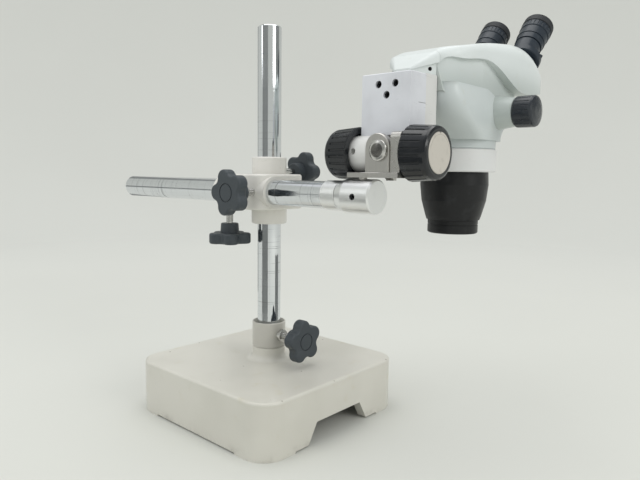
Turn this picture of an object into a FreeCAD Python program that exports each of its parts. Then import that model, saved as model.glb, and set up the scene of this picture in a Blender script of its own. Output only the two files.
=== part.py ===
import FreeCAD, Part
import math
import os
from FreeCAD import Placement, Rotation, Vector

os.makedirs("parts", exist_ok=True)

X_AXIS = Vector(1, 0, 0)
Y_AXIS = Vector(0, 1, 0)
Z_AXIS = Vector(0, 0, 1)

# Fits, mm
running_fit = 0.05
pass_gap = 0.3
seat_gap = 0.1

# Stand, mm
column_radius = 14.0
column_top = 458.6
tube_wall = 3.0
base_side = 230.0
base_height = 62.0
base_corner = 29.0
base_wall = 12.0
base_plate = 12.0
base_edge_rise = 2.0
base_foot_length = 45.0
arch_height = 24.0
arch_foot_width = 102.0
arch_top_width = 74.0
boss_radius = 20.0
boss_top = 78.0
boss_fillet = 8.0
pillar_radius = 22.0
socket_floor = 20.0
collar_radius = 20.25
collar_top = 108.6
collar_knob_z = 93.6

ring_low = 229.0
ring_top = 246.5
ring_radius = 21.15

block_low = 248.0
block_top = 288.0
block_x = (-40.0, 42.0)
block_y = (-52.0, 20.0)
block_corner = 13.0
upper_collar_radius = 20.5
upper_collar_top = 308.0
arm_y = -34.0
arm_z = 268.0
mouth_radius = 17.6
mouth_length = 3.0

arm_start = -245.6
arm_tube_end = 124.0
sleeve_radius = 15.0
sleeve_end = 142.6
spigot_radius = 10.0
coupling_start = 143.0
coupling_cone_end = 152.0
coupling_radius = 17.0
coupling_end = 186.0
spigot_end = 161.0

# Star knobs, mm
stud_radius = 4.0
lobe_count = 5
knob_radius = 25.5
lobe_radius = 9.0
valley_radius = 7.0
knob_disc = 12.8
knob_hub_radius = 10.5
knob_hub_length = 11.5
knob_round = 2.4
nut_radius = 7.5
nut_length = 5.0
arm_knob_x = 28.0
lower_knob_x = -33.0
upper_knob_z = 291.0

# Focus mount, mm
head_x = 183.0
pin_x = 168.0
pin_radius = 4.0
pinion_y = -18.0
pinion_z = 309.5
shaft_radius = 4.0
gear_module = 0.8
gear_teeth = 16
gear_width = 9.6
bracket_low = 286.4
bracket_top = 291.4
bracket_x = (153.4, 212.6)
bracket_y = (-41.0, 2.0)
lug_y = (-39.0, -32.2)
lug_x = 187.0
lug_half = 13.75
lug_apex = 328.0
bolt_radius = 10.0
bolt_x = 189.5
bolt_z = 311.9
barrel_radius = 18.0
barrel_start = 139.0
barrel_end = 172.5
barrel_neck_radius = 13.0
oil_hole_x = 156.0
housing_x = (201.0, 211.8)
housing_top = 329.5
focus_knob_inner = 30.5
focus_knob_outer = 58.8
focus_knob_big = 26.6
focus_knob_small = 25.0
focus_knob_bore = 20.0
focus_knob_web = 14.0
focus_rib_count = 24
disc_radius = 19.0
way_x = (155.0, 211.0)
way_y = (-21.4, 5.4)
way_top = 385.5
tongue_front = 15.0
tongue_back = 10.0
tongue_y = (-5.6, 5.8)
tongue_low = 293.0
slide_back = 26.0
slide_low = way_top - 51.5
rack_low = 283.6
rack_top = way_top - 43.5
rack_half = 4.5

# Head, mm; depth runs along +Y, heights count from the top of the way.
# A cover station is depth, half width, low, high and top corner
wall = 3.0
head_axis_y = 117.0
seam_y = 26.4
adaptor_half = 26.0
adaptor_stations = [
    (5.0, 9.0, 5.3, 7.1, 0.8),
    (26.4, 29.5, 13.3, 24.5, 6.0),
]
cover_stations = [
    (26.8, 29.5, 13.4, 24.7, 6.0),
    (60.0, 38.0, 21.0, 34.5, 8.0),
    (95.0, 46.0, 23.5, 41.5, 10.0),
    (128.0, 51.0, 11.5, 46.5, 14.0),
    (155.0, 54.0, -1.5, 49.5, 17.0),
    (195.0, 54.5, -2.5, 47.5, 20.0),
    (218.0, 52.5, 0.5, 35.5, 15.0),
    (236.0, 46.0, 8.5, 23.5, 7.0),
]
# Side outline of the core between cover and lower body: depth and height
core_side = [
    (26.8, -13.5), (26.8, 18.0), (60.0, 26.0), (95.0, 29.5), (128.0, 22.5),
    (172.0, 8.5), (168.0, -13.5), (146.0, -45.5), (100.0, -49.5), (60.0, -35.5),
]
# Half widths of the core at its foot and at its shoulder: depth, foot, shoulder
core_foot = -15.5
core_shoulder = 18.5
core_plan = [(26.8, 34.5, 24.0), (95.0, 43.0, 41.0), (185.0, 44.0, 43.0)]
# A lower body station is height, half width, front, back and corner
body_stations = [
    (-58.1, 45.0, 72.0, 157.0, 27.0),
    (-44.5, 48.0, 47.0, 159.0, 30.0),
    (-30.5, 48.5, 32.0, 156.0, 26.0),
    (-17.5, 46.5, 28.0, 142.0, 20.0),
    (-5.0, 43.5, 28.0, 112.0, 12.0),
]
neck_radius = 45.0
neck_low = way_top - 67.5
body_low = way_top + body_stations[0][0]
body_high = way_top + body_stations[-1][0]
collar_low = way_top - 92.3
cone_stations = [(37.5, -92.5), (38.2, -106.5), (36.2, -124.5), (31.5, -141.5), (29.8, -146.3)]
objective_ring_top = way_top - 146.6
objective_ring_low = way_top - 161.5
objective_ring_radius = 28.3
objective_thread_radius = 26.0
objective_thread_depth = 4.5
zoom_y = 125.0
zoom_z = way_top - 28.5
zoom_back = 67.0
zoom_face = 88.5
zoom_radius = 16.5
zoom_boss_inner = 21.0
zoom_boss_outer = 15.0
zoom_shaft_radius = 4.0

# Eyepieces, mm, measured along the inclined axis from the cup's open end
eye_tilt = 45.0
eye_half = 28.0
turret_half = 32.0
turret_radius = 19.0
eye_end_y = 266.5
eye_end_z = way_top + 91.5
eyecup_length = 11.0
eyecup_radius = 18.8
diopter_length = 10.0
diopter_radius = 18.2
ocular_length = 22.0
ocular_radius = 17.4
tube_length = 20.0
tube_radius = 15.5
tube_wall_eye = 2.0
turret_length = 9.0


def export(node, shape):
    shape.exportStep("parts/" + node + ".step")


def revolved(profile, base=Vector(), axis=Z_AXIS):
    points = [Vector(radius, 0, height) for radius, height in profile]
    face = Part.Face(Part.makePolygon(points + [points[0]]))
    solid = face.revolve(Vector(), Z_AXIS, 360)
    solid.Placement = Placement(base, Rotation(Z_AXIS, axis))
    return solid


def cylinder(radius, length, base, axis=Z_AXIS):
    return Part.makeCylinder(radius, length, base, axis)


def box(x_span, y_span, z_span):
    corner = Vector(x_span[0], y_span[0], z_span[0])
    return Part.makeBox(x_span[1] - x_span[0], y_span[1] - y_span[0], z_span[1] - z_span[0], corner)


def prism(points, direction):
    return Part.Face(Part.makePolygon(points + [points[0]])).extrude(direction)


def rounded_wire(half_x, half_y, corner, centre, along_x, along_y):
    def at(u, v):
        return centre + along_x * u + along_y * v

    edges = []
    diagonal = corner * (1 - math.sqrt(0.5))
    signs = [(1, 1), (-1, 1), (-1, -1), (1, -1)]
    for index, (sx, sy) in enumerate(signs):
        first = at(sx * half_x, sy * (half_y - corner))
        middle = at(sx * (half_x - diagonal), sy * (half_y - diagonal))
        last = at(sx * (half_x - corner), sy * half_y)
        if index % 2:
            first, last = last, first
        edges.append(Part.Arc(first, middle, last).toShape())
    joined = []
    for index, arc in enumerate(edges):
        joined.append(arc)
        following = edges[(index + 1) % 4]
        joined.append(Part.makeLine(arc.Vertexes[-1].Point, following.Vertexes[0].Point))
    return Part.Wire(joined)


def rounded_block(x_span, y_span, z_span, corner):
    centre = Vector(sum(x_span) / 2, sum(y_span) / 2, z_span[0])
    half_x = (x_span[1] - x_span[0]) / 2
    half_y = (y_span[1] - y_span[0]) / 2
    wire = rounded_wire(half_x, half_y, corner, centre, X_AXIS, Y_AXIS)
    return Part.Face(wire).extrude(Vector(0, 0, z_span[1] - z_span[0]))


def edges_at_z(shape, z):
    return [
        edge
        for edge in shape.Edges
        if abs(edge.BoundBox.ZMin - z) < 1e-4 and abs(edge.BoundBox.ZMax - z) < 1e-4
    ]


def hex_prism(across_flats, length, base, axis):
    corner = across_flats / math.sqrt(3)
    points = [
        Vector(corner * math.cos(math.radians(60 * i)), corner * math.sin(math.radians(60 * i)), 0)
        for i in range(6)
    ]
    solid = prism(points, Vector(0, 0, length))
    solid.Placement = Placement(base, Rotation(Z_AXIS, axis))
    return solid


def socket_screw(radius, length, head_point, axis):
    body = revolved(
        [(0, -length), (radius - 0.4, -length), (radius, 0.4 - length), (radius, -0.3), (radius - 0.3, 0), (0, 0)],
        head_point,
        axis,
    )
    return body.cut(hex_prism(radius, 2.2, head_point - axis * 2.0, axis))


# Base casting, hollow below, with boss and pillar
def make_base():
    half = base_side / 2
    span = (-half, half)
    shell = rounded_block(span, span, (0, base_height), base_corner)
    shell = shell.makeFillet(3.0, edges_at_z(shell, base_height))
    inner = (-half + base_wall, half - base_wall)
    cavity = rounded_block(inner, inner, (0, base_height - base_plate), base_corner - base_wall)
    casting = shell.cut(cavity)
    boss = revolved_boss()
    pillar = cylinder(pillar_radius, base_height - base_plate - 14.0 + 1, Vector(0, 0, 14.0))
    casting = casting.fuse([boss, pillar])
    arch = [
        Vector(0, -arch_foot_width / 2, 0),
        Vector(0, arch_foot_width / 2, 0),
        Vector(0, arch_top_width / 2, arch_height),
        Vector(0, -arch_top_width / 2, arch_height),
    ]
    for side in (-1, 1):
        cutter = prism(arch, Vector(side * (base_wall + 4.0), 0, 0))
        cutter.translate(Vector(side * (half - base_wall - 2.0), 0, 0))
        casting = casting.cut(cutter)
    open_half = half - base_foot_length
    casting = casting.cut(box((-open_half, open_half), (-half, half), (0, base_edge_rise)))
    casting = casting.cut(box((-half, half), (-open_half, open_half), (0, base_edge_rise)))
    socket = cylinder(column_radius + running_fit, boss_top, Vector(0, 0, socket_floor))
    casting = casting.cut(socket)
    export("base_casting", casting.removeSplitter())


def revolved_boss():
    foot = base_height
    flare = boss_radius + boss_fillet
    bend = boss_fillet * (1 - math.sqrt(0.5))
    outline = [
        Part.makeLine(Vector(0, 0, foot - 6), Vector(flare, 0, foot - 6)),
        Part.makeLine(Vector(flare, 0, foot - 6), Vector(flare, 0, foot)),
        Part.Arc(
            Vector(flare, 0, foot),
            Vector(boss_radius + bend, 0, foot + bend),
            Vector(boss_radius, 0, foot + boss_fillet),
        ).toShape(),
        Part.makeLine(Vector(boss_radius, 0, foot + boss_fillet), Vector(boss_radius, 0, boss_top - 1.2)),
        Part.makeLine(Vector(boss_radius, 0, boss_top - 1.2), Vector(boss_radius - 1.2, 0, boss_top)),
        Part.makeLine(Vector(boss_radius - 1.2, 0, boss_top), Vector(0, 0, boss_top)),
        Part.makeLine(Vector(0, 0, boss_top), Vector(0, 0, foot - 6)),
    ]
    return Part.Face(Part.Wire(outline)).revolve(Vector(), Z_AXIS, 360)


# Chromed collar with a wide mouth, screwed on the boss
def make_base_collar():
    bore = column_radius + running_fit
    collar = revolved([
        (bore, boss_top),
        (collar_radius - 1.6, boss_top),
        (collar_radius - 1.6, boss_top + 0.8),
        (collar_radius, boss_top + 1.2),
        (collar_radius, collar_top - 0.8),
        (collar_radius - 0.8, collar_top),
        (collar_radius - 1.6, collar_top),
        (bore, collar_top - 8.0),
    ])
    hole = cylinder(stud_radius + running_fit, collar_radius, Vector(0, 0, collar_knob_z), X_AXIS)
    export("base_collar", collar.cut(hole))


# Star knob: lobed disc, hub and face cap, turning with its stud and lock nut.
# `tip` is the stud's inner end, `axis` points outward to the knob.
def star_outline():
    lobe_centre = knob_radius - lobe_radius
    half_step = math.pi / lobe_count
    reach = lobe_radius + valley_radius
    cosine = lobe_centre * math.cos(half_step)
    valley_centre = cosine + math.sqrt(cosine * cosine - lobe_centre * lobe_centre + reach * reach)
    lobes = [polar(lobe_centre, 2 * i * half_step) for i in range(lobe_count)]
    valleys = [polar(valley_centre, (2 * i + 1) * half_step) for i in range(lobe_count)]
    edges = []
    for i in range(lobe_count):
        before = lobes[i] + (valleys[i - 1] - lobes[i]).normalize() * lobe_radius
        after = lobes[i] + (valleys[i] - lobes[i]).normalize() * lobe_radius
        crown = polar(knob_radius, 2 * i * half_step)
        edges.append(Part.Arc(before, crown, after).toShape())
        following = lobes[(i + 1) % lobe_count]
        onward = following + (valleys[i] - following).normalize() * lobe_radius
        floor = polar(valley_centre - valley_radius, (2 * i + 1) * half_step)
        edges.append(Part.Arc(after, floor, onward).toShape())
    return Part.Wire(edges)


def polar(radius, angle, height=0.0):
    return Vector(radius * math.cos(angle), radius * math.sin(angle), height)


def make_star_knob(name, tip, axis, disc_centre, nut_start, spin, has_nut):
    disc_start = disc_centre - knob_disc / 2
    disc = Part.Face(star_outline()).extrude(Vector(0, 0, knob_disc))
    rims = edges_at_z(disc, 0) + edges_at_z(disc, knob_disc)
    disc = disc.makeFillet(knob_round, rims)
    hub = revolved([
        (0, -knob_hub_length),
        (knob_hub_radius - 0.8, -knob_hub_length),
        (knob_hub_radius, -knob_hub_length + 0.8),
        (knob_hub_radius + 0.8, 0.5),
        (0, 0.5),
    ])
    grip = disc.fuse(hub)
    cap_groove = revolved([
        (9.0, knob_disc - 0.9),
        (10.2, knob_disc - 0.9),
        (10.2, knob_disc + 1),
        (9.0, knob_disc + 1),
    ])
    stud_end = disc_start + 6.0
    stud_hole = cylinder(stud_radius, knob_hub_length + 6.0, Vector(0, 0, -knob_hub_length))
    grip = grip.cut(cap_groove).cut(stud_hole)
    grip.rotate(Vector(), Z_AXIS, spin)
    grip.translate(Vector(0, 0, disc_start))
    grip.Placement = Placement(tip, Rotation(Z_AXIS, axis)).multiply(grip.Placement)
    export(name + "_grip", grip)
    stud = revolved([
        (0, 0),
        (stud_radius - 0.8, 0),
        (stud_radius, 0.8),
        (stud_radius, stud_end),
        (0, stud_end),
    ])
    nut = revolved([
        (0, nut_start),
        (nut_radius - 0.8, nut_start),
        (nut_radius, nut_start + 0.8),
        (nut_radius, nut_start + nut_length - 0.8),
        (nut_radius - 0.8, nut_start + nut_length),
        (0, nut_start + nut_length),
    ])
    if has_nut:
        stud = stud.fuse(nut)
    stud.Placement = Placement(tip, Rotation(Z_AXIS, axis))
    export(name + "_stud", stud)


def make_column():
    inner = column_radius - tube_wall
    low = socket_floor + seat_gap
    tube = revolved([
        (inner, low),
        (column_radius - 0.6, low),
        (column_radius, low + 0.6),
        (column_radius, column_top - 1.0),
        (column_radius - 1.0, column_top),
        (inner, column_top),
    ])
    export("column_tube", tube)
    cap = revolved([
        (0, column_top - 14.0),
        (inner - running_fit, column_top - 14.0),
        (inner - running_fit, column_top - 1.4),
        (inner - 1.2, column_top - 0.8),
        (0, column_top - 0.4),
    ])
    export("column_cap", cap)


def make_stop_ring():
    bore = column_radius + running_fit
    ring = revolved([
        (bore, ring_low),
        (ring_radius - 1.4, ring_low),
        (ring_radius, ring_low + 1.4),
        (ring_radius, ring_top),
        (bore, ring_top),
    ])
    middle = (ring_low + ring_top) / 2
    hole = cylinder(3.0 + seat_gap, ring_radius, Vector(0, 0, middle), Y_AXIS)
    export("stop_ring", ring.cut(hole))
    screw_length = ring_radius - 1.5 - bore - pass_gap
    export("stop_ring_screw", socket_screw(3.0, screw_length, Vector(0, ring_radius - 1.5, middle), Y_AXIS))


# White casting that crosses column and arm
def make_cross_block():
    body = rounded_block(block_x, block_y, (block_low, block_top), block_corner)
    rims = edges_at_z(body, block_low) + edges_at_z(body, block_top)
    body = body.makeFillet(2.6, rims)
    collar = revolved([
        (0, block_top - 4.0),
        (upper_collar_radius, block_top - 4.0),
        (upper_collar_radius, upper_collar_top - 1.2),
        (upper_collar_radius - 1.2, upper_collar_top),
        (0, upper_collar_top),
    ])
    collar = collar.common(box((-30, 30), (-30, 30), (block_top - 4.0, upper_collar_top + 1)))
    foot_low = ring_top + pass_gap
    foot = cylinder(ring_radius - 2.0, block_low - foot_low + 1.0, Vector(0, 0, foot_low))
    arm_base = Vector(block_x[0] - mouth_length, arm_y, arm_z)
    arm_span = block_x[1] - block_x[0] + 2 * mouth_length
    mouth = cylinder(mouth_radius, arm_span, arm_base, X_AXIS)
    body = body.fuse([collar, foot, mouth])
    body = body.cut(cylinder(column_radius + running_fit, 90.0, Vector(0, 0, ring_top - 5.0)))
    body = body.cut(cylinder(column_radius + running_fit, arm_span + 20, arm_base - X_AXIS * 10, X_AXIS))
    hole = stud_radius + running_fit
    body = body.cut(cylinder(hole, 20.0, Vector(arm_knob_x, arm_y, arm_z), -Y_AXIS))
    body = body.cut(cylinder(hole, 22.0, Vector(lower_knob_x, arm_y, arm_z), -Z_AXIS))
    body = body.cut(cylinder(hole, 24.0, Vector(0, 0, upper_knob_z), Y_AXIS))
    export("cross_block", body.removeSplitter())


def make_arm():
    inner = column_radius - tube_wall
    origin = Vector(0, arm_y, arm_z)
    tube = revolved([
        (inner, arm_start),
        (column_radius - 0.6, arm_start),
        (column_radius, arm_start + 0.6),
        (column_radius, arm_tube_end),
        (inner, arm_tube_end),
    ], origin, X_AXIS)
    export("arm_tube", tube)
    plug = revolved([
        (0, arm_start - 1.4),
        (column_radius - 1.6, arm_start - 1.4),
        (column_radius - 0.6, arm_start - 0.8),
        (column_radius - 0.6, arm_start),
        (inner - running_fit, arm_start),
        (inner - running_fit, arm_start + 14.0),
        (0, arm_start + 14.0),
    ], origin, X_AXIS)
    export("arm_plug", plug)
    sleeve = revolved([
        (0, arm_tube_end - 28.0),
        (inner - running_fit, arm_tube_end - 28.0),
        (inner - running_fit, arm_tube_end + seat_gap),
        (sleeve_radius - 0.5, arm_tube_end + seat_gap),
        (sleeve_radius, arm_tube_end + 0.6),
        (sleeve_radius, sleeve_end - 0.4),
        (sleeve_radius - 0.4, sleeve_end),
        (spigot_radius, sleeve_end),
        (spigot_radius, coupling_start + 1.0),
        (spigot_radius - 1.5, coupling_start + 2.0),
        (spigot_radius - 1.5, coupling_start + 6.0),
        (spigot_radius, coupling_start + 7.0),
        (spigot_radius, spigot_end),
        (0, spigot_end),
    ], origin, X_AXIS)
    export("arm_sleeve", sleeve)


# Aluminium coupling turning on the arm's spigot
def make_coupling():
    origin = Vector(0, arm_y, arm_z)
    bore = spigot_radius + running_fit
    body = revolved([
        (bore, coupling_start),
        (sleeve_radius - 0.4, coupling_start),
        (sleeve_radius, coupling_start + 0.4),
        (coupling_radius, coupling_cone_end),
        (coupling_radius, coupling_end - 1.6),
        (coupling_radius - 1.6, coupling_end),
        (0, coupling_end),
        (0, spigot_end + pass_gap),
        (bore, spigot_end + pass_gap),
    ], origin, X_AXIS)
    body = body.cut(cylinder(pin_radius + running_fit, 40.0, Vector(pin_x, arm_y, arm_z - 7.0)))
    body = body.cut(cylinder(3.0 + seat_gap, 20.0, Vector(pin_x, arm_y - pin_radius - 1.0, arm_z), -Y_AXIS))
    under_start = Vector(coupling_start + 4.0, arm_y, arm_z - 8.0)
    body = body.cut(cylinder(3.0 + seat_gap, 12.0, under_start, -Z_AXIS))
    export("coupling_body", body)
    near = socket_screw(3.0, 7.0, Vector(pin_x, arm_y - coupling_radius + 3.0, arm_z), -Y_AXIS)
    low_tip = sleeve_radius + 0.4
    under_length = low_tip - 0.6 - spigot_radius - seat_gap
    under_head = Vector(coupling_start + 4.0, arm_y, arm_z - low_tip + 0.6)
    under = socket_screw(3.0, under_length, under_head, -Z_AXIS)
    export("coupling_screws", Part.makeCompound([near, under]))


# Bracket: plate on the coupling with an upright round-topped lug
def make_bracket():
    plate = box(bracket_x, bracket_y, (bracket_low, bracket_top))
    plate = plate.makeChamfer(0.6, edges_at_z(plate, bracket_top))
    lug = box((lug_x - lug_half, lug_x + lug_half), lug_y, (bracket_low, lug_apex - lug_half))
    crown = cylinder(lug_half, lug_y[1] - lug_y[0], Vector(lug_x, lug_y[0], lug_apex - lug_half), Y_AXIS)
    lug = lug.fuse(crown).removeSplitter()
    front = [edge for edge in lug.Edges if abs(edge.BoundBox.YMax - lug_y[0]) < 1e-4]
    lug = lug.makeChamfer(0.8, [edge for edge in front if edge.BoundBox.ZMax > bracket_low + 1])
    bracket = plate.fuse(lug)
    slot = (head_x - rack_half - 1.0, head_x + rack_half + 1.0)
    bracket = bracket.cut(box(slot, (-13.5, bracket_y[1]), (bracket_low, bracket_top)))
    bracket = bracket.cut(cylinder(pin_radius, 20.0, Vector(pin_x, arm_y, bracket_low - 5.0)))
    bolt_hole = cylinder(4.0, 20.0, Vector(bolt_x, lug_y[0] - 5.0, bolt_z), Y_AXIS)
    export("bracket", bracket.cut(bolt_hole).removeSplitter())
    pin = revolved([
        (0, arm_z - 5.0),
        (pin_radius - 0.8, arm_z - 5.0),
        (pin_radius, arm_z - 4.2),
        (pin_radius, bracket_top),
        (0, bracket_top),
    ])
    pin.translate(Vector(pin_x, arm_y, 0))
    export("swivel_pin", pin)
    profile = [(0, -5.6), (4.0, -5.6), (4.0, 0)]
    profile += [(bolt_radius - 0.4, 0), (bolt_radius, 0.5), (bolt_radius, 1.6)]
    for step in range(1, 7):
        angle = math.radians(15 * step)
        profile.append((bolt_radius * math.cos(angle), 1.6 + 2.6 * math.sin(angle)))
    bolt = revolved(profile[:-1] + [(0, 4.2)], Vector(bolt_x, lug_y[0], bolt_z), -Y_AXIS)
    export("tension_bolt", bolt)


# Bearing barrel of the pinion shaft, open behind for the rack
def make_pinion_barrel():
    origin = Vector(0, pinion_y, pinion_z)
    bore = shaft_radius + running_fit
    barrel = revolved([
        (bore, barrel_start),
        (barrel_radius - 0.8, barrel_start),
        (barrel_radius, barrel_start + 0.8),
        (barrel_radius, barrel_end - 0.6),
        (barrel_radius - 0.6, barrel_end),
        (barrel_neck_radius, barrel_end),
        (barrel_neck_radius, housing_x[0]),
        (bore, housing_x[0]),
    ], origin, X_AXIS)
    outer_radius = gear_module * (gear_teeth / 2 + 1)
    chamber_start = Vector(head_x - gear_width / 2 - 1.0, pinion_y, pinion_z)
    chamber = cylinder(outer_radius + 0.5, gear_width + 2.0, chamber_start, X_AXIS)
    window = box(
        (head_x - rack_half - 1.0, head_x + rack_half + 1.0),
        (pinion_y, pinion_y + barrel_radius + 1),
        (pinion_z - 25.0, pinion_z + 25.0),
    )
    channel = box(
        (head_x - tongue_front - 1.0, head_x + tongue_front + 1.0),
        (tongue_y[0] - 0.6, 2.0),
        (pinion_z - 25.0, pinion_z + 25.0),
    )
    barrel = barrel.cut(chamber).cut(window).cut(channel)
    oil_start = Vector(oil_hole_x, pinion_y - shaft_radius - 2.0, pinion_z + 2.0)
    oil_hole = cylinder(3.1, 16.0, oil_start, -Y_AXIS)
    export("pinion_barrel", barrel.cut(oil_hole))

    face = box(housing_x, (-37.0, way_y[0] - seat_gap), (bracket_top, housing_top))
    top_front = [
        edge
        for edge in face.Edges
        if edge.BoundBox.ZMin > housing_top - 1e-3 and abs(edge.BoundBox.YMax + 37.0) < 1e-3
    ]
    face = face.makeFillet(6.0, top_front)
    drum_length = housing_x[1] - housing_x[0]
    drum = cylinder(barrel_radius - seat_gap, drum_length, Vector(housing_x[0], pinion_y, pinion_z), X_AXIS)
    housing = face.fuse(drum)
    housing = housing.cut(cylinder(bore, 60.0, Vector(180.0, pinion_y, pinion_z), X_AXIS))
    export("pinion_housing", housing.removeSplitter())


# Fixed way block with a dovetail channel and a rack channel
def make_focus_block():
    body = box(way_x, way_y, (bracket_top, way_top))
    body = body.makeChamfer(0.8, edges_at_z(body, way_top))
    gap = 0.15
    dovetail = [
        Vector(head_x - tongue_front - gap, tongue_y[0] - gap, 0),
        Vector(head_x + tongue_front + gap, tongue_y[0] - gap, 0),
        Vector(head_x + tongue_back + gap, way_y[1], 0),
        Vector(head_x + tongue_back + gap, way_y[1] + 2, 0),
        Vector(head_x - tongue_back - gap, way_y[1] + 2, 0),
        Vector(head_x - tongue_back - gap, way_y[1], 0),
    ]
    channel = prism(dovetail, Vector(0, 0, 120.0))
    channel.translate(Vector(0, 0, bracket_top - 5.0))
    slot_half = rack_half + 0.6
    rack_slot = box((head_x - slot_half, head_x + slot_half), (-13.6, -5.0), (bracket_top, way_top + 1))
    bed = cylinder(barrel_radius, way_x[1] - way_x[0] + 4, Vector(way_x[0] - 2, pinion_y, pinion_z), X_AXIS)
    body = body.cut(channel).cut(rack_slot).cut(bed)
    screws = []
    for x, z in ((174.6, 375.2), (193.9, 375.2), (184.2, 364.9)):
        body = body.cut(cylinder(3.6, 7.0, Vector(x, way_y[0], z), Y_AXIS))
        screws.append(socket_screw(3.5, 4.6, Vector(x, way_y[0] + 2.2, z), -Y_AXIS))
    export("focus_block", body)
    export("block_screws", Part.makeCompound(screws))


# Pinion: involute-like flanks from straight cuts between tip and root
def make_pinion_shaft():
    pitch = gear_module * gear_teeth / 2
    tip = pitch + gear_module * 0.92
    root = pitch - gear_module * 1.2
    step = 2 * math.pi / gear_teeth
    backlash = 0.06 / pitch
    points = []
    for tooth in range(gear_teeth):
        centre = tooth * step
        for radius, half in ((root, 0.36), (pitch, 0.25), (tip, 0.12)):
            points.append(polar(radius, centre - half * step + backlash))
        for radius, half in ((tip, 0.12), (pitch, 0.25), (root, 0.36)):
            points.append(polar(radius, centre + half * step - backlash))
    gear = prism(points, Vector(0, 0, gear_width))
    gear.Placement = Placement(
        Vector(head_x - gear_width / 2, pinion_y, pinion_z),
        Rotation(Z_AXIS, X_AXIS),
    )
    shaft = revolved([
        (0, head_x - focus_knob_outer + 4.0),
        (shaft_radius, head_x - focus_knob_outer + 4.0),
        (shaft_radius, head_x + focus_knob_outer - 4.0),
        (0, head_x + focus_knob_outer - 4.0),
    ], Vector(0, pinion_y, pinion_z), X_AXIS)
    export("pinion_shaft", shaft.fuse(gear))


# Rack with straight-sided teeth towards the pinion
def make_rack():
    pitch_line = pinion_y + gear_module * gear_teeth / 2
    tooth = math.pi * gear_module
    tip = pitch_line - gear_module * 0.92
    root = pitch_line + gear_module * 1.2
    back = tongue_y[0]
    slope = math.tan(math.radians(20))
    half_pitch = tooth / 4 - 0.04
    tip_half = half_pitch - gear_module * 0.92 * slope
    root_half = half_pitch + gear_module * 1.2 * slope
    points = [Vector(0, back, rack_low), Vector(0, root, rack_low)]
    centre = pinion_z + tooth / 2
    while centre - tooth - root_half > rack_low:
        centre -= tooth
    while centre + root_half < rack_top:
        points.append(Vector(0, root, centre - root_half))
        points.append(Vector(0, tip, centre - tip_half))
        points.append(Vector(0, tip, centre + tip_half))
        points.append(Vector(0, root, centre + root_half))
        centre += tooth
    points += [Vector(0, root, rack_top), Vector(0, back, rack_top)]
    rack = prism(points, Vector(2 * rack_half, 0, 0))
    rack.translate(Vector(head_x - rack_half, 0, 0))
    export("rack", rack)


# Moving slide: dovetail tongue and back plate
def make_slide():
    tongue = [
        Vector(head_x - tongue_front, tongue_y[0], tongue_low),
        Vector(head_x + tongue_front, tongue_y[0], tongue_low),
        Vector(head_x + tongue_back, way_y[1], tongue_low),
        Vector(head_x + tongue_back, tongue_y[1], tongue_low),
        Vector(head_x - tongue_back, tongue_y[1], tongue_low),
        Vector(head_x - tongue_back, way_y[1], tongue_low),
    ]
    dovetail = prism(tongue, Vector(0, 0, way_top - tongue_low))
    plate = box((way_x[0] + 0.4, way_x[1] - 0.4), (tongue_y[1], slide_back), (slide_low, way_top + 0.5))
    slide = plate.fuse(dovetail).removeSplitter()
    export("slide_plate", slide)


# Ribbed focus knob, hollow on its inner side, with a hub on the shaft
def make_focus_knob(name, side):
    inner = focus_knob_inner
    outer = focus_knob_outer
    hub = 8.5
    knob = revolved([
        (focus_knob_bore, inner),
        (focus_knob_big - 1.0, inner),
        (focus_knob_big, inner + 1.0),
        (focus_knob_small, outer - 3.0),
        (focus_knob_small - 0.9, outer - 0.9),
        (focus_knob_small - 3.0, outer),
        (disc_radius + 0.2, outer),
        (disc_radius + 0.2, outer - 1.2),
        (0, outer - 1.2),
        (0, outer - 12.0),
        (hub, outer - 12.0),
        (focus_knob_bore, inner + focus_knob_web),
    ])
    grooves = []
    for i in range(focus_rib_count):
        angle = 2 * math.pi * (i + 0.5) / focus_rib_count
        groove = cylinder(1.3, outer - inner - 5.5, polar(focus_knob_big + 0.35, angle, inner - 1.0))
        groove.rotate(polar(focus_knob_big + 0.35, angle, inner), polar(1, angle + math.pi / 2), -3.2)
        grooves.append(groove)
    knob = knob.cut(Part.makeCompound(grooves))
    knob = knob.cut(cylinder(shaft_radius, outer - 4.0, Vector()))
    disc = revolved([
        (0, outer - 1.2),
        (disc_radius, outer - 1.2),
        (disc_radius, outer + 0.1),
        (disc_radius - 0.6, outer + 0.5),
        (0, outer + 0.5),
    ])
    notch = cylinder(1.3, 4.0, Vector(-disc_radius, 0, outer - 2.0))
    disc = disc.cut(notch)
    for shape in (knob, disc):
        shape.Placement = Placement(
            Vector(head_x, pinion_y, pinion_z),
            Rotation(Z_AXIS, X_AXIS * side),
        ).multiply(shape.Placement)
    export("focus_knob_" + name, knob)
    export("focus_disc_" + name, disc)


# Section across the head: square lower corners, rounded top corners
def cover_wire(station, inset=0.0):
    y, half, low, high, corner = station
    half -= inset
    low += way_top + inset
    high += way_top - inset
    corner = max(corner - inset, 1.0)
    diagonal = corner * (1 - math.sqrt(0.5))
    left = head_x - half
    right = head_x + half
    return Part.Wire([
        Part.makeLine(Vector(left, y, low), Vector(right, y, low)),
        Part.makeLine(Vector(right, y, low), Vector(right, y, high - corner)),
        Part.Arc(
            Vector(right, y, high - corner),
            Vector(right - diagonal, y, high - diagonal),
            Vector(right - corner, y, high),
        ).toShape(),
        Part.makeLine(Vector(right - corner, y, high), Vector(left + corner, y, high)),
        Part.Arc(
            Vector(left + corner, y, high),
            Vector(left + diagonal, y, high - diagonal),
            Vector(left, y, high - corner),
        ).toShape(),
        Part.makeLine(Vector(left, y, high - corner), Vector(left, y, low)),
    ])


def shell_loft(stations, wire_maker):
    outer = Part.makeLoft([wire_maker(station) for station in stations], True, False)
    inner = Part.makeLoft([wire_maker(station, wall) for station in stations], True, False)
    return outer, inner


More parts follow.
